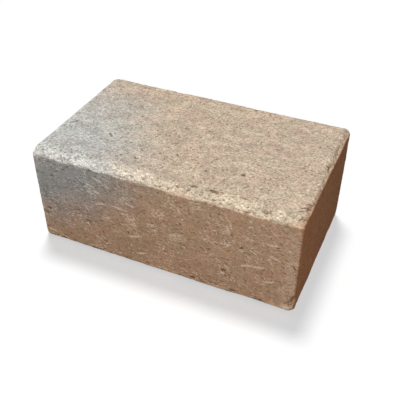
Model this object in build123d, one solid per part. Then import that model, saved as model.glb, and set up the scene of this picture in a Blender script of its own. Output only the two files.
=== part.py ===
from build123d import *
import os

# Concrete wall block for low garden and retaining walls: one solid, dry-cast piece.
# Tumbling has rounded its arrises, worn some of them back, and knocked a few chips out.
# Sizes are in millimetres. The origin is the centre of the underside, +X runs along
# the block, the front faces -Y and +Z is up.

# The block as cast
LENGTH = 250.0
DEPTH = 150.0
HEIGHT = 100.0

# Radius that tumbling leaves on every arris, sharp or worn
ARRIS_RADIUS = 1.2

# Wear of each arris beyond that radius: how far it is cut back on its first and its
# second face, at its low end and then at its high end along X, Y or Z
ARRIS_WEAR = {
    "front_top": ((3.0, 7.6), (3.4, 9.1)),
    "back_top": ((2.2, 2.1), (2.4, 2.3)),
    "front_bottom": ((2.1, 2.2), (2.4, 2.3)),
    "back_bottom": ((2.4, 2.5), (2.2, 2.3)),
    "left_top": ((2.6, 2.8), (2.1, 2.2)),
    "right_top": ((2.2, 2.3), (3.0, 3.4)),
    "left_bottom": ((2.3, 2.2), (2.5, 2.6)),
    "right_bottom": ((2.3, 2.2), (2.1, 2.2)),
    "front_left": ((2.1, 2.2), (2.8, 2.6)),
    "front_right": ((0.3, 0.3), (0.6, 0.5)),
    "back_left": ((2.4, 2.3), (2.6, 2.7)),
    "back_right": ((2.6, 2.5), (2.3, 2.4)),
}

# Cut across each corner, along X, Y and Z
CORNER_CUT = {
    "front_left_top": (7.4, 7.9, 6.9),
    "front_right_top": (5.5, 6.5, 5.0),
    "back_left_top": (6.9, 7.4, 6.4),
    "back_right_top": (5.5, 5.5, 5.0),
    "front_left_bottom": (5.1, 4.9, 4.9),
    "front_right_bottom": (6.0, 5.5, 5.5),
    "back_left_bottom": (8.4, 8.9, 7.9),
    "back_right_bottom": (8.4, 7.9, 8.9),
}

# Chips scooped out of the arrises: the arris, the distance from its low end, the
# radius of the scoop and its depth below the worn arris
CHIPS = (
    ("front_top", 152.0, 40.0, 1.0),
    ("right_top", 20.0, 7.0, 2.2),
    ("right_top", 80.0, 6.0, 1.0),
    ("front_right", 16.0, 7.0, 2.5),
)

OUTWARD = {
    "left": Vector(-1, 0, 0),
    "right": Vector(1, 0, 0),
    "front": Vector(0, -1, 0),
    "back": Vector(0, 1, 0),
    "bottom": Vector(0, 0, -1),
    "top": Vector(0, 0, 1),
}


def core_point(direction):
    """Point of the core, the block without its rounding, on the sides that direction names."""
    centre = Vector(0, 0, HEIGHT / 2)
    reach_x = LENGTH / 2 - ARRIS_RADIUS
    reach_y = DEPTH / 2 - ARRIS_RADIUS
    reach_z = HEIGHT / 2 - ARRIS_RADIUS
    return centre + Vector(direction.X * reach_x, direction.Y * reach_y, direction.Z * reach_z)


def faces_at(name):
    """Outward normals of the faces that meet at an arris or a corner."""
    return [OUTWARD[side] for side in name.split("_")]


def core_ends(name):
    """The low and the high end of an arris of the core."""
    first, second = faces_at(name)
    across = first.cross(second)
    along = Vector(abs(across.X), abs(across.Y), abs(across.Z))
    return core_point(first + second - along), core_point(first + second + along)


def shave(solid, a, b, c, outward):
    """Cut off what lies outside the plane through three points."""
    normal = (b - a).cross(c - a)
    if normal.dot(outward) < 0:
        normal = -normal
    return split(solid, bisect_by=Plane(origin=a, z_dir=normal), keep=Keep.BOTTOM)


def worn_ends(name):
    """Points on an arris's first and second face where its wear stops, at either end."""
    first, second = faces_at(name)
    low_end, high_end = core_ends(name)
    (low_first, low_second), (high_first, high_second) = ARRIS_WEAR[name]
    low_points = (low_end - second * low_first, low_end - first * low_second)
    high_points = (high_end - second * high_first, high_end - first * high_second)
    return low_points, high_points


def wear_arris(solid, name):
    """Bevel one arris by the wear at its two ends."""
    low_points, high_points = worn_ends(name)
    return shave(solid, *low_points, sum(high_points, Vector()) / 2, sum(faces_at(name), Vector()))


def cut_corner(solid, name):
    """Cut one corner off by its three legs."""
    faces = faces_at(name)
    outward = sum(faces, Vector())
    corner = core_point(outward)
    cut = Vector(*CORNER_CUT[name])
    a, b, c = (corner - face * abs(face.dot(cut)) for face in faces)
    return shave(solid, a, b, c, outward)


def chip(name, distance, radius, depth):
    """Ball that scoops a chip out of a worn arris."""
    low_end, high_end = core_ends(name)
    low_middle, high_middle = (sum(points, Vector()) / 2 for points in worn_ends(name))
    share = (distance - ARRIS_RADIUS) / (high_end - low_end).length
    middle = low_middle + (high_middle - low_middle) * share
    outward = sum(faces_at(name), Vector()).normalized()
    return Pos(middle + outward * (ARRIS_RADIUS + radius - depth)) * Sphere(radius)


def wall_block():
    """The block: a worn core, rounded all over, with its chips taken out."""
    low = core_point(Vector(-1, -1, -1))
    high = core_point(Vector(1, 1, 1))
    core = Pos((low + high) / 2) * Box(high.X - low.X, high.Y - low.Y, high.Z - low.Z)
    for name in ARRIS_WEAR:
        core = wear_arris(core, name)
    for name in CORNER_CUT:
        core = cut_corner(core, name)
    block = offset(core, amount=ARRIS_RADIUS, kind=Kind.ARC)
    for placed in CHIPS:
        block = block - chip(*placed)
    return block


os.makedirs("parts", exist_ok=True)
export_step(wall_block(), "parts/wall_block.step")
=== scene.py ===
"""Looks of the concrete wall block: its worn, gritty surface, its finish, the stage and the camera."""
import math
from collections import namedtuple

import bpy
import numpy as np
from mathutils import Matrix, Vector, noise
from mathutils.bvhtree import BVHTree


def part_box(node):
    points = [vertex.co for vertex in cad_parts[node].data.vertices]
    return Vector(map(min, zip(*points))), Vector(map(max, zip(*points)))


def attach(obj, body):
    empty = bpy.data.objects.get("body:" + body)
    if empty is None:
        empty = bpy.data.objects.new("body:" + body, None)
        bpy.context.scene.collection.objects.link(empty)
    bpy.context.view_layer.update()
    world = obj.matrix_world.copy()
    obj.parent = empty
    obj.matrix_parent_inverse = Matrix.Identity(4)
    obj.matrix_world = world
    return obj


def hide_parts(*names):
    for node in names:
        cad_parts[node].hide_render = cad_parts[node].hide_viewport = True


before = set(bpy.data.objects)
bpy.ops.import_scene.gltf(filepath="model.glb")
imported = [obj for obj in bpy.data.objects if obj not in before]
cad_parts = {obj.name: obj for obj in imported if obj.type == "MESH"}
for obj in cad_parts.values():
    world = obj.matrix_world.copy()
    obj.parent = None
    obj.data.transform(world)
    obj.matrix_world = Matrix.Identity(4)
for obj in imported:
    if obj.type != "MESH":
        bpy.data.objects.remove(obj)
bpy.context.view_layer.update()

NODE = "wall_block"
MM = 0.001
LOW, HIGH = (np.array(corner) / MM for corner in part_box(NODE))

# Mesh of the block, in millimetres: fine steps beside the arrises, wider ones between them
ARRIS_BAND = 16.0
ARRIS_STEP = 0.85
FACE_STEP = 1.5

# Rays that find the CAD solid's surface start this many bands out from the box inside the bands
RAY_BANDS = 3

# Gap between the six sides on the sheet that the finish is baked to, in millimetres
SHEET_GAP = 4.0

# Relief all over: depth and width of its features in millimetres, octaves of its noise, and
# the noise's shift, which keeps one kind of relief apart from the next
RELIEF = {
    "swell": (0.3, 45.0, 2, 0.0),
    "unevenness": (0.16, 9.0, 3, 1.7),
    "grit": (0.08, 3.2, 2, 3.3),
}

# What a fully crumbled arris has lost: greatest depth and width in millimetres, the share of
# that depth lost where the noise is 0, and the contrast and shift of the noise
LOSSES = {
    "crumbs": (1.5, 3.0, 0.1, 1.6, 11.7),
    "flakes": (1.5, 15.0, 0.0, 1.5, 21.3),
}
LOSS_OCTAVES = 3

# Octaves of the mesh's noise: each is this many times as fine as the one before, and weaker by
# that number raised to the falloff
OCTAVE_STEP = 2.0
OCTAVE_FALLOFF = 1.0

# Passes that round the crumbled arrises off
SOFTENING_TURNS = 30

# Wear of the arrises, by the two sides that meet there: how far it reaches in from each side
# in millimetres, how pale it is from 0 to 1, a paleness that is partly the worn concrete's own and
# partly a painted highlight, and how far it has crumbled from 0 to 1, which
# sets both how much it has lost and how far it is rounded off
WEAR_AND_HIGHLIGHT = {
    ("front", "top"): (15.0, 5.5, 1.0, 1.0),
    ("right", "top"): (7.0, 3.5, 0.62, 0.6),
    ("left", "top"): (8.0, 6.0, 0.5, 0.3),
    ("back", "top"): (8.0, 6.0, 0.35, 0.3),
    ("front", "right"): (3.0, 15.0, 0.5, 0.05),
    ("front", "left"): (7.0, 7.0, 0.3, 0.3),
    ("back", "left"): (7.0, 7.0, 0.3, 0.3),
    ("back", "right"): (7.0, 7.0, 0.3, 0.3),
    ("front", "bottom"): (6.0, 4.0, 0.2, 0.15),
    ("back", "bottom"): (6.0, 4.0, 0.2, 0.3),
    ("left", "bottom"): (6.0, 4.0, 0.2, 0.3),
    ("right", "bottom"): (6.0, 4.0, 0.2, 0.3),
}

# Where wear and its painted highlight start to fade and where they end, as shares of the reach from the first
# side and from the second
FIRST_FADE = (0.25, 1.0)
SECOND_FADE = (0.7, 1.1)

# Sounder arrises at either end of the block: the share of the crumbling that is left there, and
# the distances from the end in millimetres between which the rest comes back
SOUND_SHARE = 0.55
SOUND_REACH = (3.0, 25.0)

# Pale corner and brown corner: the sides that meet there, their reach in millimetres, how pale the
# one is, a paleness that is partly wear and partly a painted sheen, and how much of its paleness, partly a
# painted highlight, the other loses; where they start to fade and where they end, as shares of the reach
PALE_SHEEN_CORNER = ("front", "left", "top")
PALE_SHEEN_REACH = 30.0
PALE_SHEEN_SHARE = 0.55
BROWN_CORNER = ("front", "right", "top")
BROWN_REACH = 24.0
BROWN_SHARE = 0.7
CORNER_FADE = (0.3, 1.0)

# Tan line along the foot of the sides, a painted bounce light from the floor: reach in millimetres, fade as
# shares of it, and strength
FOOT_BOUNCE_REACH = 7.5
FOOT_BOUNCE_FADE = (0.4, 1.0)
FOOT_BOUNCE_SHARE = 0.8

# Raggedness of these borders: strength, then size in millimetres, octaves and shift of its noise
RAGGEDNESS = 0.35
RAGGED_NOISE = (11.0, 4, 5.1)

# Grey end of the colour blend: its reach along X, Y and Z in millimetres from the left front top
# corner to where grey and brown are equal, the roundness of that border, where it starts to fade
# and ends as shares of the reach, and how uneven it is, with size, octaves and shift of its noise
GREY_REACH = (92.0, 118.0, 66.0)
GREY_ROUNDNESS = 1.6
GREY_FADE = (0.5, 1.5)
GREY_UNEVENNESS = 0.12
GREY_NOISE = (30.0, 3, 7.1)

# How far the surface has to face up for the top's finish, or forwards for the front's scuffing, to
# begin and to be full, and how much a slope towards the ends takes off what faces up
TOP_FACING = (0.42, 0.68)
END_SLOPE_LOSS = 0.2
FRONT_FACING = (0.45, 0.9)

# Scuffing of the other sides, as a share of the front's
OTHER_SCUFFING = 0.4

# Marks that show singly, by face, angle in degrees and slenderness: place and length in
# millimetres; places are X and Y on the top, X and Z on the front
PITS = {
    ("top", 45, 3.5): ((-114, -20, 8.5), (36, -15, 4.5), (120, -69, 4.0)),
    ("top", 40, 6.0): ((118, -61, 7.0), (120, -55, 9.0), (122, -49, 7.0)),
    ("top", -42, 3.4): (
        (-71, -26, 8.0), (-69, -22, 4.0), (-34, -49, 5.5), (-34, -36, 5.5), (-2, -31, 5.0),
        (-112, -72, 3.6),
    ),
    ("top", 3, 3.4): (
        (16, -69, 5.0), (29, -65, 8.5), (49, -65, 12.0), (72, -64, 7.0), (94, -70, 8.0),
        (75, 12, 4.5), (122, -68, 4.0), (56, -72, 4.0),
    ),
    ("top", 10, 1.5): (
        (-71, 31, 4.0), (-68, -65, 3.6), (60, -35, 5.2), (30, -42, 3.2), (81, -47, 2.6),
        (34, 69, 3.0), (-118, -73, 2.6), (-120, -66, 2.4), (-104, -65, 3.0), (124, -45, 3.2),
        (115, -69, 2.0), (121, 6, 3.2),
    ),
    ("front", -27, 3.4): (
        (-72, 34, 4.4), (-71, 36, 4.4), (-93, 96, 5.0), (-94, 94, 3.0), (121, 54, 4.4),
        (122, 52, 4.4),
    ),
    ("front", 42, 5.0): ((120, 13, 9.0), (121, 10, 7.0), (123, 16, 4.0)),
    ("front", 0, 3.6): (
        (-70, 71, 4.0), (78, 95, 6.0), (-110, 5, 5.0), (-103, 4, 6.0), (-91, 5, 5.0),
        (-69, 4, 7.0), (-61, 5, 5.0), (-34, 5, 6.0), (-13, 6, 5.0), (32, 6, 7.0),
        (42, 5, 6.0), (52, 7, 8.0), (70, 6, 6.0), (96, 5, 5.0),
    ),
    ("front", -10, 1.4): (
        (-114, 37, 4.0), (-117, 31, 2.4), (-64, 94, 3.4), (76, 58, 3.8), (61, 27, 4.4),
    ),
}
SMEARS = {
    ("top", 25, 7.0): ((-17, -51, 15.0), (-24, -23, 10.0), (90, -11, 20.0)),
    ("top", -82, 6.0): ((63, 35, 19.0),),
    ("top", 0, 1.6): (
        (-65, 36, 6.5), (57, -41, 7.5), (23, 30, 3.0), (47, 14, 6.0), (28, 67, 7.0),
        (69, 68, 7.0),
    ),
    ("front", -5, 5.0): (
        (-40, 65, 5.0), (-40, 61, 12.0), (-27, 68, 9.0), (-22, 77, 5.5), (-7, 53, 8.0),
    ),
    ("front", -14, 4.5): (
        (-66, 78, 11.0), (-62, 73, 12.0), (-66, 70, 8.0), (-57, 86, 10.0), (-50, 82, 8.0),
        (-115, 10, 9.0),
    ),
    ("front", 19, 6.0): (
        (-57, 60, 12.0), (-24, 34, 14.0), (-18, 16, 13.0), (82, 40, 14.0), (102, 29, 11.0),
        (-70, 75, 8.0),
    ),
    ("front", 12, 4.5): ((92, 42, 13.0), (102, 70, 10.0)),
    ("front", -25, 5.0): (
        (14, 83, 11.0), (55, 37, 7.0), (86, 57, 8.0), (96, 78, 6.5), (105, 57, 9.0),
    ),
    ("front", -40, 5.5): ((82, 69, 8.0), (94, 87, 7.5), (104, 73, 6.0)),
    ("front", -74, 4.0): ((64, 72, 10.0), (66, 78, 8.0), (20, 78, 7.0)),
    ("front", 5, 1.5): (
        (11, 88, 2.6), (23, 70, 2.8), (24, 39, 3.2), (60, 23, 4.5), (76, 55, 4.5),
        (83, 88, 2.8), (116, 69, 2.4), (118, 6, 8.0),
    ),
}

# Clusters of fine scuffs, given in the same way
CLUSTERS = {
    ("front", 0, 1.5): (
        (-52, 46, 8.0), (-43, 9, 8.0), (-31, 74, 9.0), (-29, 54, 13.0), (-26, 48, 10.0),
        (-6, 51, 12.0), (-1, 68, 16.0), (1, 31, 10.0), (18, 48, 14.0), (35, 88, 14.0),
        (46, 56, 11.0), (48, 42, 8.0), (63, 57, 11.0),
    ),
}

# Form of the single marks: how much a distance off the face counts against one along the mark;
# where a mark ends and where it is full, and what counts as far from any, in half lengths; depth
# of a pit in millimetres and how steeply its dent falls off
MARK_FLATNESS = 0.4
MARK_EDGE = (1.2, 0.8)
FAR = 10.0
PIT_DENT = 0.35
PIT_FALLOFF = 3

# How the grit breaks the single marks up: levels of the grit where they are weakest and strongest,
# and the shares that pits keep there
PIT_BREAKS = (0.66, 0.52, 0.55, 1.0)
CLUSTER_BREAKS = (0.485, 0.565)
SMEAR_BREAKS = (0.38, 0.48)

# Random strokes, at most one in a cell: spacing of the cells, length and width in millimetres,
# angle and its spread in degrees, and the share of the cells that have one
DASHES = (4.6, 3.4, 0.9, -20, 40, 0.5)
SPECKS = (3.8, 2.8, 0.9, 8, 55, 0.45)
SCRATCHES = (6.4, 6.6, 0.8, -24, 34, 0.36)
CRUMBS = (3.6, 3.4, 1.1, -15, 70, 0.75)
STREAKS = (9.0, 6.0, 1.8, 8, 60, 0.35)

# Smallest and largest stroke as shares of that size, and where a stroke ends and is full as shares
# of its own half size
STROKE_SIZES = (0.35, 1.3)
STROKE_EDGE = (1.15, 0.7)

# Strength of the dark dashes on the sides and specks on the top, of the pale streaks on the top,
# and of all scuffs and smears on the sides and on the top
DASH_SHARE = 0.75
SPECK_SHARE = 0.6
STREAK_SHARE = 0.45
SCUFF_SHARE = (0.84, 0.65)

# Features of the finish, in millimetres: ragged edges and how far they stray from side to side,
# colour tints, worn specks, sand grains, grit, clumps of grit, spacing of the pores, patches of scuffs
STIR_SIZE = 2.5
STIR_REACH = 2.0
TINT_SIZE = 20.0
SPECKLE_SIZE = 2.4
SAND_SIZE = 1.0
GRIT_SIZE = 1.7
CLUMP_SIZE = 8.0
PORE_SPACING = 4.2
PATCH_SIZE = 26.0

# Levels of the noise between which tints, worn specks, grit and patches go from end to end
TINT_LEVELS = (0.38, 0.62)
SPECKLE_LEVELS = (0.3, 0.7)
GRIT_LEVELS = (0.25, 0.75)
PATCH_LEVELS = (0.35, 0.60)

# What the specks add to the wear at least and at most, and the sums that start to show and that
# cover all
SPECKLE_SWING = (-0.5, 0.5)
BARE_AND_HIGHLIT_LEVELS = (0.25, 0.8)

# Darkest and lightest shade of sand, grit and clumps; their strength on the sides and on the top,
# and what full wear adds to it; factors on X, Y and Z that draw grit and clumps out along the block
SAND_SHADES = (0.82, 1.18)
GRIT_SHADES = (0.70, 1.30)
CLUMP_SHADES = (0.79, 1.21)
GRAIN_STRENGTH = (0.8, 1.35)
WORN_GRAIN = 0.15
GRIT_STRETCH = (0.6, 1.0, 1.0)

# Pores: where one ends and is full, as shares of the spacing; the random numbers between which
# pores appear and what full wear adds to them; strength on the sides and on the top
PORE_EDGE = (0.28, 0.12)
PORE_LEVELS = (0.45, 0.6)
WORN_PORES = 0.2
PORE_SHARE = (0.3, 0.75)

# Fine relief in the finish: share of grit, sand, holes and scuffs in it, its strength, and its
# depth in millimetres
GRIT_BUMP = 0.9
SAND_BUMP = 0.25
HOLE_BUMP = 0.8
SCUFF_BUMP = 0.5
BUMP_STRENGTH = 0.8
BUMP_DEPTH = 0.6

# Shine of the concrete
ROUGHNESS = 0.92
SPECULAR = 0.2

# Reflectances, linear RGB
BROWN_TOP = (0.54, 0.43, 0.327, 1.0)
BROWN_SIDE = (0.62, 0.418, 0.274, 1.0)
GREY_TOP = (0.475, 0.475, 0.45, 1.0)
GREY_SIDE = (0.445, 0.452, 0.445, 1.0)
# Wear colours of the arrises: partly the worn concrete's own paleness, partly a painted highlight
WEAR_AND_HIGHLIGHT_BROWN = (0.665, 0.55, 0.412, 1.0)
WEAR_AND_HIGHLIGHT_SIDE = (0.72, 0.53, 0.385, 1.0)
WEAR_AND_HIGHLIGHT_GREY = (0.62, 0.61, 0.572, 1.0)
SCUFF_BROWN = (0.98, 0.79, 0.61, 1.0)
SCUFF_GREY = (0.86, 0.85, 0.82, 1.0)
# Colour of the painted bounce light along the foot of the sides
FOOT_BOUNCE_BROWN = (0.85, 0.56, 0.33, 1.0)
PINK_TINT = (1.025, 0.99, 0.99, 1.0)
OLIVE_TINT = (0.985, 1.005, 0.98, 1.0)
# Painted shade in the pores, pits, dashes and specks
PAINTED_HOLE_SHADE = (0.42, 0.37, 0.32, 1.0)
FLOOR_WHITE = (0.77, 0.755, 0.745, 1.0)

# Darkening of the lower part of the sides, partly dirt and partly painted shade, weaker on the less scuffed
# ones: what it leaves of their reflectance, the heights in millimetres between which it fades out at mid
# length, and how much lower it lies further right
LOW_DIRT_AND_SHADE = (0.88, 0.84, 0.83, 1.0)
LOW_DIRT_AND_SHADE_HEIGHT = (20.0, 80.0)
LOW_DIRT_AND_SHADE_SLOPE = 0.2

# Camera, in millimetres and degrees, as the photograph was taken
CAMERA_TARGET = (15.49, -22.05, 50.0)
CAMERA_AZIMUTH = 24.06
CAMERA_ELEVATION = 38.20
CAMERA_DISTANCE = 564.4
CAMERA_ROLL = 0.13
FOCAL_LENGTH = 55.58
SENSOR_WIDTH = 36.0
NEAREST_SEEN = 10.0

# Lights: direction from the block, distance and size in metres, level that a white surface facing
# the light shows, colour
LIGHTS = {
    "key_light": ((-0.32, -0.60, 0.73), 8.0, 4.0, 0.66, (1.0, 1.0, 1.0)),
    "top_light": ((-0.15, 0.25, 0.96), 20.0, 4.25, 0.53, (1.0, 1.0, 1.0)),
    "right_fill": ((0.93, -0.32, 0.11), 0.5, 0.3, 0.102, (1.0, 0.50, 0.25)),
}

# The one of these lights that reaches the floor, where it casts a single soft shadow
FLOOR_LIGHT = "top_light"

# Surroundings: light of the sky and of the ground, the heights of a direction between which one
# gives way to the other, and what is seen behind the floor
SKY_LIGHT = (0.11, 0.11, 0.11, 1.0)
GROUND_LIGHT = (0.14, 0.10, 0.075, 1.0)
HORIZON = (-0.05, 0.05)
BACKDROP_WHITE = (1.0, 1.0, 1.0, 1.0)

# Floor: side in metres, how far it lies below the block in millimetres, and its own glow, which
# is a little cool to even out the warm light that the block throws on it
FLOOR_SIZE = 3.0
FLOOR_DROP = 0.2
FLOOR_GLOW = (0.528, 0.547, 0.56, 1.0)


def steps(low, high):
    """Places of the mesh lines along one side, closer together beside the arrises."""
    inner_low, inner_high = low + ARRIS_BAND, high - ARRIS_BAND
    band_count = round(ARRIS_BAND / ARRIS_STEP)
    middle_count = round((inner_high - inner_low) / FACE_STEP)
    return np.concatenate([
        np.linspace(low, inner_low, band_count, endpoint=False),
        np.linspace(inner_low, inner_high, middle_count, endpoint=False),
        np.linspace(inner_high, high, band_count + 1),
    ])


def sheet_corners():
    """Lower left corner of each side on the bake sheet, by axis and end, and the sheet's size."""
    length, depth, height = HIGH - LOW
    first_column = SHEET_GAP
    second_column = 2 * SHEET_GAP + length
    corners = {}
    for axis, column, rise, start in (
        (2, first_column, depth, 0.0),
        (1, second_column, height, 0.0),
        (0, second_column, height, 2 * (height + SHEET_GAP)),
    ):
        for end in (0, 1):
            corners[axis, end] = (column, start + SHEET_GAP + end * (rise + SHEET_GAP))
    return corners, second_column + length + SHEET_GAP


def box_lattice():
    """Points and quads of a gridded box, its faces joined at the arrises, and the quads' sheet places."""
    lines = [steps(LOW[i], HIGH[i]) for i in range(3)]
    shape = [len(line) for line in lines]
    outside = np.ones(shape, bool)
    outside[1:-1, 1:-1, 1:-1] = False
    points = np.stack(np.meshgrid(*lines, indexing="ij"), -1)[outside]
    number = np.full(shape, -1)
    number[outside] = np.arange(len(points))
    corners, sheet_size = sheet_corners()
    quads, sheet = [], []
    for (axis, end), corner in corners.items():
        side = np.take(number, -end, axis)
        turn = 1 if (axis == 1) == (end == 1) else -1
        around = [side[:-1, :-1], side[:-1, 1:], side[1:, 1:], side[1:, :-1]][::turn]
        quads.append(np.stack(around, -1).reshape(-1, 4))
        across, up = [i for i in range(3) if i != axis]
        flat = points[quads[-1]][..., [across, up]] - LOW[[across, up]] + corner
        sheet.append(flat / sheet_size)
    return points, np.concatenate(quads), np.concatenate(sheet)


def lay_on_solid(points):
    """Places of the box's points on the CAD solid, and the way out of the solid there."""
    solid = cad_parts[NODE].data
    corners = [vertex.co / MM for vertex in solid.vertices]
    tree = BVHTree.FromPolygons(corners, [polygon.vertices for polygon in solid.polygons])
    inner = np.clip(points, LOW + ARRIS_BAND, HIGH - ARRIS_BAND)
    outward = points - inner
    outward /= np.linalg.norm(outward, axis=1, keepdims=True)
    starts = inner + outward * RAY_BANDS * ARRIS_BAND
    places = [tree.ray_cast(Vector(start), Vector(-way))[0] for start, way in zip(starts, outward)]
    return np.array(places), outward


def soften(places, quads, share):
    """Round the surface off by that share: a pass moves points up to half way to their neighbours' middle."""
    starts = quads.ravel()
    ends = np.roll(quads, -1, axis=1).ravel()
    count = np.bincount(starts)
    for _ in range(SOFTENING_TURNS):
        around = np.stack([np.bincount(starts, places[ends, i]) for i in range(3)], -1) / count[:, None]
        places = places + share[:, None] * (around - places) / 2
    return places


def wave(points, size, octaves, shift):
    """Smooth noise between about -1 and 1, with features of that size."""
    shifted = points / size + shift
    return np.array([noise.fractal(point, OCTAVE_FALLOFF, OCTAVE_STEP, octaves) for point in shifted])


def ramp(values, start, end):
    """Smooth step from 0 at start to 1 at end."""
    t = np.clip((values - start) / (end - start), 0, 1)
    return t * t * (3 - 2 * t)


def fade(distance, reach, shares):
    """1 up to the first share of a reach, and 0 from the second share on."""
    start, end = shares
    return 1 - ramp(distance, start * reach, end * reach)


def side_gaps(places):
    """Distance of each point from the plane of each side of the block, in millimetres."""
    below, above = (places - LOW).T, (HIGH - places).T
    return dict(zip(("left", "front", "bottom", "right", "back", "top"), (*below, *above)))


def wear_and_painted_light_masks(places):
    """How pale the arrises are at each point, partly wear and partly painted highlight, how crumbled they
    are, and how much of the painted bounce light along the foot is there.
    """
    gaps = side_gaps(places)
    ragged = 1 + RAGGEDNESS * wave(places, *RAGGED_NOISE)
    pale_and_highlit = np.zeros(len(places))
    crumble = np.zeros(len(places))
    for (first, second), (first_reach, second_reach, paleness, crumbled) in WEAR_AND_HIGHLIGHT.items():
        near = fade(gaps[first] * ragged, first_reach, FIRST_FADE)
        near *= fade(gaps[second] * ragged, second_reach, SECOND_FADE)
        # Paleness of the arrises: partly wear, partly a painted highlight along them
        pale_and_highlit = np.maximum(pale_and_highlit, paleness * near)
        crumble = np.maximum(crumble, crumbled * near)
    away_pale_sheen = np.linalg.norm([gaps[side] for side in PALE_SHEEN_CORNER], axis=0)
    away_brown = np.linalg.norm([gaps[side] for side in BROWN_CORNER], axis=0)
    # Pale corner: partly wear, partly a painted sheen
    pale_and_highlit = np.maximum(pale_and_highlit, PALE_SHEEN_SHARE * fade(away_pale_sheen * ragged, PALE_SHEEN_REACH, CORNER_FADE))
    pale_and_highlit *= 1 - BROWN_SHARE * fade(away_brown * ragged, BROWN_REACH, CORNER_FADE)
    from_end = np.minimum(gaps["left"], gaps["right"])
    crumble *= SOUND_SHARE + (1 - SOUND_SHARE) * ramp(from_end, *SOUND_REACH)
    # Painted bounce light along the foot of the sides
    foot = fade(gaps["bottom"] * ragged, FOOT_BOUNCE_REACH, FOOT_BOUNCE_FADE)
    return pale_and_highlit, crumble, foot


def grey_share(places):
    """Share of grey in the colour blend, fading out from the left front top corner."""
    corner = np.array([LOW[0], LOW[1], HIGH[2]])
    away = (np.abs(places - corner) / GREY_REACH) ** GREY_ROUNDNESS
    distance = away.sum(1) ** (1 / GREY_ROUNDNESS)
    return 1 - ramp(distance + GREY_UNEVENNESS * wave(places, *GREY_NOISE), *GREY_FADE)


def facing_masks(outward):
    """How far each point belongs to the top, and how far it is scuffed."""
    top = ramp(outward[:, 2] - END_SLOPE_LOSS * np.abs(outward[:, 0]), *TOP_FACING)
    front = ramp(-outward[:, 1], *FRONT_FACING)
    return top, np.maximum(front, OTHER_SCUFFING) * (1 - top)


def mark_axes(face, angle, slenderness):
    """Rows that turn a place into one where marks of a group are balls as wide as the marks are long."""
    turn = math.radians(angle)
    across_axis, depth_axis = (1, 2) if face == "top" else (2, 1)
    rows = np.zeros((3, 3))
    rows[0, [0, across_axis]] = math.cos(turn), math.sin(turn)
    rows[1, [0, across_axis]] = -slenderness * math.sin(turn), slenderness * math.cos(turn)
    rows[2, depth_axis] = MARK_FLATNESS
    return rows


def mark_centre(face, first, second):
    """Middle of a mark, on the plane of its face."""
    return np.array((first, second, HIGH[2]) if face == "top" else (first, LOW[1], second))


def pit_dents(places):
    """Depth of the single pits at each point, in millimetres."""
    depth = np.zeros(len(places))
    for (face, angle, slenderness), marks in PITS.items():
        rows = mark_axes(face, angle, slenderness)
        for first, second, length in marks:
            away = (places - mark_centre(face, first, second)) @ rows.T
            dent = PIT_DENT * np.exp(-PIT_FALLOFF * (away ** 2).sum(1) / length ** 2)
            depth = np.maximum(depth, dent)
    return depth


def relief(places, crumble):
    """Height of the roughened surface over the smooth one at each point, in millimetres."""
    height = np.zeros(len(places))
    for depth, size, octaves, shift in RELIEF.values():
        height += depth * wave(places, size, octaves, shift)
    for depth, size, base, contrast, shift in LOSSES.values():
        lost = np.clip(base + contrast * wave(places, size, LOSS_OCTAVES, shift), 0, 1)
        height -= depth * crumble * lost
    return height - pit_dents(places)


def make_block():
    """The block's visible surface, laid on the CAD solid and roughened."""
    points, quads, sheet = box_lattice()
    places, outward = lay_on_solid(points)
    worn, crumble, foot = wear_and_painted_light_masks(places)
    places = soften(places, quads, crumble)
    top, scuffed = facing_masks(outward)
    masks = {"worn": worn, "foot": foot, "grey": grey_share(places), "top": top, "scuffed": scuffed}
    places = places + outward * relief(places, crumble)[:, None]
    mesh = bpy.data.meshes.new("block_surface")
    mesh.from_pydata(places * MM, [], quads)
    mesh.shade_smooth()
    mesh.uv_layers.new(name="OFBake").uv.foreach_set("vector", sheet.ravel())
    for name, values in masks.items():
        mesh.attributes.new(name, "FLOAT", "POINT").data.foreach_set("value", values)
    block = bpy.data.objects.new("block_surface", mesh)
    bpy.context.scene.collection.objects.link(block)
    return block


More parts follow.
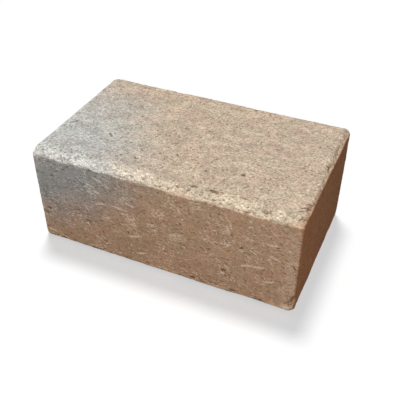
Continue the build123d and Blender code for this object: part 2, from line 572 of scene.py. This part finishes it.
class Graph:
    """Short forms for the nodes of one tree; values are sockets or constants."""

    def __init__(self, tree):
        self.tree = tree

    def add(self, kind, inputs, **options):
        """New node with its options and its inputs set."""
        made = self.tree.nodes.new(kind)
        for name, value in options.items():
            setattr(made, name, value)
        for key, value in inputs.items():
            if isinstance(value, bpy.types.NodeSocket):
                self.tree.links.new(value, made.inputs[key])
            else:
                made.inputs[key].default_value = value
        return made

    def noise(self, place, size, detail, rough):
        """Noise from 0 to 1 with features of that size in millimetres."""
        inputs = {"Vector": place, "Scale": 1 / (size * MM), "Detail": detail, "Roughness": rough}
        return self.add("ShaderNodeTexNoise", inputs)

    def cells(self, place, size, dimensions="3D"):
        """Random cells of that size: distance from the cell's point, that point and a random colour."""
        inputs = {"Vector": place, "Scale": 1 / (size * MM)}
        return self.add("ShaderNodeTexVoronoi", inputs, voronoi_dimensions=dimensions)

    def parts(self, colour):
        """The three channels of a colour, such as a cell's three random numbers."""
        return self.add("ShaderNodeSeparateColor", {0: colour}).outputs

    def math(self, operation, first, second):
        """Arithmetic on two values."""
        return self.add("ShaderNodeMath", {0: first, 1: second}, operation=operation).outputs[0]

    def vector_math(self, operation, first, second):
        """Node for arithmetic on two vectors."""
        return self.add("ShaderNodeVectorMath", {0: first, 1: second}, operation=operation)

    def vector(self, operation, first, second):
        """Arithmetic on two vectors that gives a vector."""
        return self.vector_math(operation, first, second).outputs["Vector"]

    def dot(self, first, second):
        """Dot product of two vectors."""
        return self.vector_math("DOT_PRODUCT", first, second).outputs["Value"]

    def distance(self, first, second=(0, 0, 0)):
        """Distance between two places."""
        return self.vector_math("DISTANCE", first, second).outputs["Value"]

    def mix(self, share, first, second, blend="MIX"):
        """Colour mix."""
        inputs = {0: share, 6: first, 7: second}
        return self.add("ShaderNodeMix", inputs, data_type="RGBA", blend_type=blend).outputs[2]

    def span(self, value, low, high, to_low=0.0, to_high=1.0):
        """A value's range mapped to another, clamped."""
        inputs = {"Value": value, "From Min": low, "From Max": high, "To Min": to_low, "To Max": to_high}
        return self.add("ShaderNodeMapRange", inputs).outputs["Result"]

    def product(self, first, *others):
        """Product of several values."""
        for other in others:
            first = self.math("MULTIPLY", first, other)
        return first

    def attribute(self, name):
        """A share stored on the mesh."""
        return self.add("ShaderNodeAttribute", {}, attribute_name=name).outputs["Fac"]


# What the finish goes by: places on the block, ragged and flat forms of them, shares on the mesh
Surface = namedtuple("Surface", "place ragged x z top_plane side_plane worn foot grey top scuffed")


def surface_inputs(graph):
    """What the finish goes by, as sockets."""
    place = graph.add("ShaderNodeTexCoord", {}).outputs["Object"]
    shares = [graph.attribute(name) for name in ("worn", "foot", "grey", "top", "scuffed")]
    stir = graph.noise(place, STIR_SIZE, detail=2.0, rough=0.6).outputs["Color"]
    stir = graph.vector("SUBTRACT", stir, (0.5, 0.5, 0.5))
    stir = graph.vector("MULTIPLY", stir, (STIR_REACH * MM, STIR_REACH * MM, STIR_REACH * MM))
    ragged = graph.vector("ADD", place, stir)
    x, y, z = graph.add("ShaderNodeSeparateXYZ", {0: ragged}).outputs
    top_plane = graph.add("ShaderNodeCombineXYZ", {"X": x, "Y": y}).outputs[0]
    side_plane = graph.add("ShaderNodeCombineXYZ", {"X": graph.math("ADD", x, y), "Y": z}).outputs[0]
    return Surface(place, ragged, x, z, top_plane, side_plane, *shares)


def placed(graph, place, groups):
    """Share of the single marks at a place."""
    nearest = FAR
    for (face, angle, slenderness), marks in groups.items():
        rows = mark_axes(face, angle, slenderness)
        turned = [graph.dot(place, Vector(row)) for row in rows]
        local = graph.add("ShaderNodeCombineXYZ", dict(enumerate(turned))).outputs[0]
        for first, second, length in marks:
            centre = Vector(rows @ mark_centre(face, first, second)) * MM
            distance = graph.math("DIVIDE", graph.distance(local, centre), length * MM / 2)
            nearest = graph.math("MINIMUM", nearest, distance)
    return graph.span(nearest, *MARK_EDGE)


def strokes(graph, plane, spacing, length, width, angle, spread, chance):
    """Share of random strokes on a plane: at most one in a cell, turned from the angle within the spread."""
    cells = graph.cells(plane, spacing, "2D")
    turning, sizing, choosing = graph.parts(cells.outputs["Color"])
    away = graph.vector("SUBTRACT", plane, cells.outputs["Position"])
    turn = graph.span(turning, 0, 1, math.radians(spread - angle), math.radians(-spread - angle))
    turned = graph.add("ShaderNodeVectorRotate", {"Vector": away, "Angle": turn}, rotation_type="Z_AXIS")
    away = graph.vector("DIVIDE", turned.outputs[0], (length * MM / 2, width * MM / 2, 1))
    distance = graph.math("DIVIDE", graph.distance(away), graph.span(sizing, 0, 1, *STROKE_SIZES))
    return graph.product(graph.span(distance, *STROKE_EDGE), graph.math("LESS_THAN", choosing, chance))


def blended_colour(graph, surface):
    """Brown blended to grey, darker low on the sides with dirt and painted shade, and a painted bounce light
    as a tan line along their foot.
    """
    # Darker towards the bottom of the sides: partly dirt, partly painted shade
    level = graph.math("ADD", surface.z, graph.product(surface.x, LOW_DIRT_AND_SHADE_SLOPE))
    dirt_and_shade = graph.span(level, LOW_DIRT_AND_SHADE_HEIGHT[0] * MM, LOW_DIRT_AND_SHADE_HEIGHT[1] * MM, 1.0, 0.0)
    dirt_and_shade = graph.product(dirt_and_shade, surface.scuffed)
    side = graph.mix(surface.grey, BROWN_SIDE, GREY_SIDE)
    side = graph.mix(dirt_and_shade, side, LOW_DIRT_AND_SHADE, "MULTIPLY")
    top = graph.mix(surface.grey, BROWN_TOP, GREY_TOP)
    colour = graph.mix(surface.top, side, top)
    tint = graph.noise(surface.place, TINT_SIZE, detail=1.0, rough=0.5).outputs["Fac"]
    tint = graph.span(tint, *TINT_LEVELS)
    colour = graph.mix(1.0, colour, graph.mix(tint, OLIVE_TINT, PINK_TINT), "MULTIPLY")
    # Painted bounce light: a tan line along the foot of the sides
    return graph.mix(graph.product(surface.foot, tint, FOOT_BOUNCE_SHARE), colour, FOOT_BOUNCE_BROWN)


def with_wear_and_highlight(graph, surface, colour):
    """A colour with the pale, speckled wear of the arrises, partly a painted highlight."""
    speckle = graph.noise(surface.place, SPECKLE_SIZE, detail=2.0, rough=0.7).outputs["Fac"]
    # Pale wear of the arrises, partly a painted highlight
    bare_and_highlit = graph.math("ADD", surface.worn, graph.span(speckle, *SPECKLE_LEVELS, *SPECKLE_SWING))
    brown = graph.mix(surface.top, WEAR_AND_HIGHLIGHT_SIDE, WEAR_AND_HIGHLIGHT_BROWN)
    wear_and_highlight_colour = graph.mix(surface.grey, brown, WEAR_AND_HIGHLIGHT_GREY)
    return graph.mix(graph.span(bare_and_highlit, *BARE_AND_HIGHLIT_LEVELS), colour, wear_and_highlight_colour)


def grain(graph, surface):
    """Sand cells, grit, and the shade that they and the clumps give, strongest on the worn arrises."""
    drawn_out = graph.vector("MULTIPLY", surface.place, GRIT_STRETCH)
    sand = graph.cells(surface.place, SAND_SIZE)
    grit = graph.noise(drawn_out, GRIT_SIZE, detail=3.0, rough=0.75).outputs["Fac"]
    clumps = graph.noise(drawn_out, CLUMP_SIZE, detail=4.0, rough=0.65).outputs["Fac"]
    shade = graph.product(
        graph.span(graph.parts(sand.outputs["Color"])[0], 0, 1, *SAND_SHADES),
        graph.span(grit, *GRIT_LEVELS, *GRIT_SHADES),
        graph.span(clumps, *GRIT_LEVELS, *CLUMP_SHADES),
    )
    strength = graph.span(surface.top, 0, 1, *GRAIN_STRENGTH)
    strength = graph.math("ADD", strength, graph.product(surface.worn, WORN_GRAIN))
    return sand, grit, graph.math("POWER", shade, strength)


def random_holes(graph, surface):
    """Share of the pores, of the dark dashes on the sides and of the dark specks on the top."""
    pore_cells = graph.cells(surface.ragged, PORE_SPACING)
    choosing = graph.parts(pore_cells.outputs["Color"])[0]
    chance = graph.math("ADD", choosing, graph.product(surface.worn, WORN_PORES))
    pores = graph.product(
        graph.span(pore_cells.outputs["Distance"], *PORE_EDGE),
        graph.span(chance, *PORE_LEVELS),
        graph.span(surface.top, 0, 1, *PORE_SHARE),
    )
    dashes = graph.product(strokes(graph, surface.side_plane, *DASHES), surface.scuffed, DASH_SHARE)
    specks = graph.product(strokes(graph, surface.top_plane, *SPECKS), surface.top, SPECK_SHARE)
    return graph.math("MAXIMUM", pores, graph.math("MAXIMUM", dashes, specks))


def with_holes(graph, surface, colour, holes, grit):
    """A colour darkened with painted shade in the random holes and in the single pits."""
    pits = graph.product(placed(graph, surface.ragged, PITS), graph.span(grit, *PIT_BREAKS))
    # Painted shade in the holes and pits
    hole_shade = graph.math("MAXIMUM", holes, pits)
    return graph.mix(hole_shade, colour, graph.mix(1.0, colour, PAINTED_HOLE_SHADE, "MULTIPLY"))


def random_scuffs(graph, surface):
    """Share of the scratches and patches of crumbs on the sides, and of the streaks on the top."""
    patches = graph.noise(surface.place, PATCH_SIZE, detail=2.0, rough=0.5).outputs["Fac"]
    patches = graph.span(patches, *PATCH_LEVELS)
    scratches = strokes(graph, surface.side_plane, *SCRATCHES)
    crumbs = graph.product(strokes(graph, surface.side_plane, *CRUMBS), patches)
    scuffs = graph.product(graph.math("MAXIMUM", scratches, crumbs), surface.scuffed)
    streaks = graph.product(strokes(graph, surface.top_plane, *STREAKS), surface.top, STREAK_SHARE)
    return graph.math("MAXIMUM", scuffs, streaks)


def with_scuffs(graph, surface, colour, scuffs, grit):
    """A colour with the random scuffs and the single clusters and smears."""
    clusters = graph.product(placed(graph, surface.ragged, CLUSTERS), graph.span(grit, *CLUSTER_BREAKS))
    smears = graph.product(placed(graph, surface.ragged, SMEARS), graph.span(grit, *SMEAR_BREAKS))
    marks = graph.math("MAXIMUM", graph.math("MAXIMUM", scuffs, clusters), smears)
    side = graph.mix(surface.grey, SCUFF_BROWN, SCUFF_GREY)
    top = graph.mix(surface.grey, WEAR_AND_HIGHLIGHT_BROWN, WEAR_AND_HIGHLIGHT_GREY)
    mark_colour = graph.mix(surface.top, side, top)
    share = graph.product(marks, graph.span(surface.top, 0, 1, *SCUFF_SHARE))
    return graph.mix(share, colour, mark_colour)


def bumps(graph, sand, grit, holes, scuffs):
    """Fine relief of grains, holes and scuffs, as a normal."""
    height = graph.product(grit, GRIT_BUMP)
    height = graph.math("SUBTRACT", height, graph.product(sand.outputs["Distance"], SAND_BUMP))
    height = graph.math("SUBTRACT", height, graph.product(holes, HOLE_BUMP))
    height = graph.math("ADD", height, graph.product(scuffs, SCUFF_BUMP))
    inputs = {"Strength": BUMP_STRENGTH, "Distance": BUMP_DEPTH * MM, "Height": height}
    return graph.add("ShaderNodeBump", inputs).outputs["Normal"]


def concrete():
    """Dry-cast concrete: brown blended to grey, darker low on the sides with dirt and painted shade, a
    painted bounce light along the foot, sand grain, pores and pits darkened with painted shade, pale worn
    arrises partly painted as highlights, scuffs on the sides.
    """
    material = bpy.data.materials.new("concrete")
    material.use_nodes = True
    graph = Graph(material.node_tree)
    shader = material.node_tree.nodes["Principled BSDF"]
    surface = surface_inputs(graph)
    colour = with_wear_and_highlight(graph, surface, blended_colour(graph, surface))
    sand, grit, shade = grain(graph, surface)
    colour = graph.mix(1.0, colour, shade, "MULTIPLY")
    holes = random_holes(graph, surface)
    colour = with_holes(graph, surface, colour, holes, grit)
    scuffs = random_scuffs(graph, surface)
    colour = with_scuffs(graph, surface, colour, scuffs, grit)
    graph.tree.links.new(colour, shader.inputs["Base Color"])
    graph.tree.links.new(bumps(graph, sand, grit, holes, scuffs), shader.inputs["Normal"])
    shader.inputs["Roughness"].default_value = ROUGHNESS
    shader.inputs["Specular IOR Level"].default_value = SPECULAR
    return material


def make_floor():
    """Plain pale floor with a glow of its own, which throws no light on the block."""
    mesh = bpy.data.meshes.new("floor")
    half = FLOOR_SIZE / 2
    corners = [(-half, -half, 0), (half, -half, 0), (half, half, 0), (-half, half, 0)]
    mesh.from_pydata(corners, [], [(0, 1, 2, 3)])
    floor = bpy.data.objects.new("floor", mesh)
    floor.location.z = -FLOOR_DROP * MM
    floor.visible_diffuse = False
    floor.visible_glossy = False
    bpy.context.scene.collection.objects.link(floor)
    material = bpy.data.materials.new("floor_white")
    material.use_nodes = True
    shader = material.node_tree.nodes["Principled BSDF"]
    shader.inputs["Base Color"].default_value = FLOOR_WHITE
    shader.inputs["Roughness"].default_value = 1.0
    shader.inputs["Specular IOR Level"].default_value = 0.0
    shader.inputs["Emission Color"].default_value = FLOOR_GLOW
    shader.inputs["Emission Strength"].default_value = 1.0
    mesh.materials.append(material)
    return floor


def make_lights(block):
    """Soft studio lights round the block; the floor takes only one of them."""
    block_only = bpy.data.collections.new("block_only")
    block_only.objects.link(block)
    for name, (direction, distance, size, level, colour) in LIGHTS.items():
        lamp = bpy.data.lights.new(name, "AREA")
        lamp.shape = "DISK"
        lamp.size = size
        lamp.color = colour
        # Power at which a white surface that faces the light shows its level
        lamp.energy = level * (math.pi * distance) ** 2
        light = bpy.data.objects.new(name, lamp)
        way = Vector(direction).normalized()
        light.location = way * distance
        light.rotation_euler = way.to_track_quat("Z", "Y").to_euler()
        light.visible_camera = False
        if name != FLOOR_LIGHT:
            light.light_linking.receiver_collection = block_only
        bpy.context.scene.collection.objects.link(light)


def make_world():
    """Dim sky over a warm ground light, with a white backdrop behind the floor."""
    world = bpy.data.worlds.new("studio")
    world.use_nodes = True
    bpy.context.scene.world = world
    world.node_tree.nodes.clear()
    graph = Graph(world.node_tree)
    way = graph.add("ShaderNodeTexCoord", {}).outputs["Generated"]
    rise = graph.add("ShaderNodeSeparateXYZ", {0: way}).outputs["Z"]
    light = graph.mix(graph.span(rise, *HORIZON), GROUND_LIGHT, SKY_LIGHT)
    seen = graph.add("ShaderNodeLightPath", {}).outputs["Is Camera Ray"]
    background = graph.add("ShaderNodeBackground", {"Color": graph.mix(seen, light, BACKDROP_WHITE)})
    graph.add("ShaderNodeOutputWorld", {"Surface": background.outputs[0]})


def make_camera():
    """Camera at the photograph's place."""
    lens = bpy.data.cameras.new("camera")
    lens.sensor_width = SENSOR_WIDTH
    lens.lens = FOCAL_LENGTH
    lens.clip_start = NEAREST_SEEN * MM
    camera = bpy.data.objects.new("camera", lens)
    azimuth, elevation = math.radians(CAMERA_AZIMUTH), math.radians(CAMERA_ELEVATION)
    level = Vector((math.sin(azimuth), -math.cos(azimuth), 0)) * math.cos(elevation)
    back = level + Vector((0, 0, math.sin(elevation)))
    camera.location = (Vector(CAMERA_TARGET) + back * CAMERA_DISTANCE) * MM
    camera.rotation_euler = back.to_track_quat("Z", "Y").to_euler()
    camera.rotation_euler.rotate_axis("Z", math.radians(CAMERA_ROLL))
    bpy.context.scene.collection.objects.link(camera)
    bpy.context.scene.camera = camera


block = make_block()
block.data.materials.append(concrete())
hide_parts(NODE)
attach(block, "root")
make_floor()
make_lights(block)
make_world()
make_camera()
bpy.context.scene.view_settings.view_transform = "Standard"
